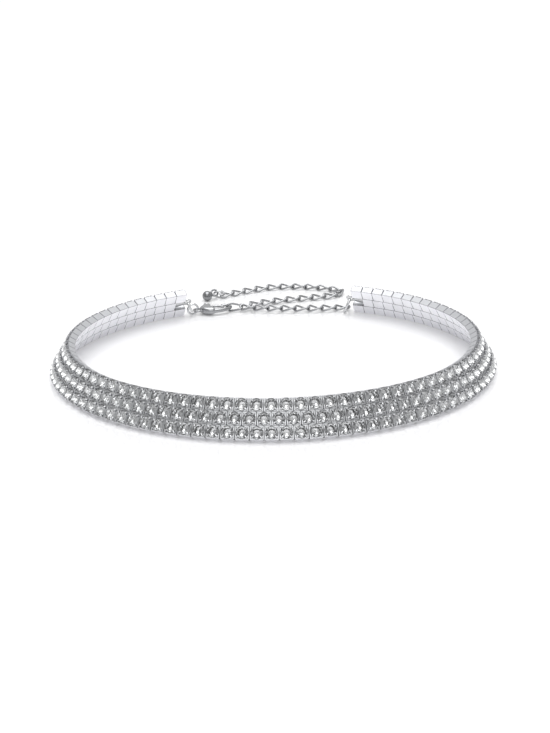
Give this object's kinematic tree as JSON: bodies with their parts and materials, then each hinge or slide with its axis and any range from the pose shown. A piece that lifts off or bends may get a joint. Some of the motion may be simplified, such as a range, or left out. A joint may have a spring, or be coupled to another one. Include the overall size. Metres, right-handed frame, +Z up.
{
  "type": "choker necklace",
  "caption": "Choker of stone-set rows standing open at the back, with a lobster clasp caught on a twisted curb extender chain that ends in a ball drop.",
  "frame": {"origin": "middle of the necklace's footprint, on the surface it stands on", "axes": "+X along the front of the collar to its right end, +Y from the front to the open back, +Z up"},
  "size_m": [0.1316, 0.1296, 0.0105],
  "materials": {
    "plated_setting": "rhodium-plated cups with clear foil-backed stones",
    "plated_metal": "bright rhodium plating"
  },
  "bodies": {
    "choker": {"strand_bottom": "plated_setting", "strand_middle": "plated_setting", "strand_top": "plated_setting", "end_tab_right": "plated_metal", "end_tab_left": "plated_metal", "jump_ring_right": "plated_metal", "jump_ring_left": "plated_metal", "clasp_ring": "plated_metal", "clasp_body": "plated_metal", "extender_chain": "plated_metal", "drop_ring": "plated_metal", "ball_drop": "plated_metal"},
    "clasp_lever": {"clasp_lever": "plated_metal"}
  },
  "joints": [
    {"name": "lever_hinge", "type": "hinge", "parent": "choker", "child": "clasp_lever", "pos_m": [-0.0217, 0.03963, 0.00159], "axis": [0, 0, -1], "range_deg": [0, 22], "stiffness_Nm_per_rad": 0.003, "springref_deg": -20.05}
  ]
}
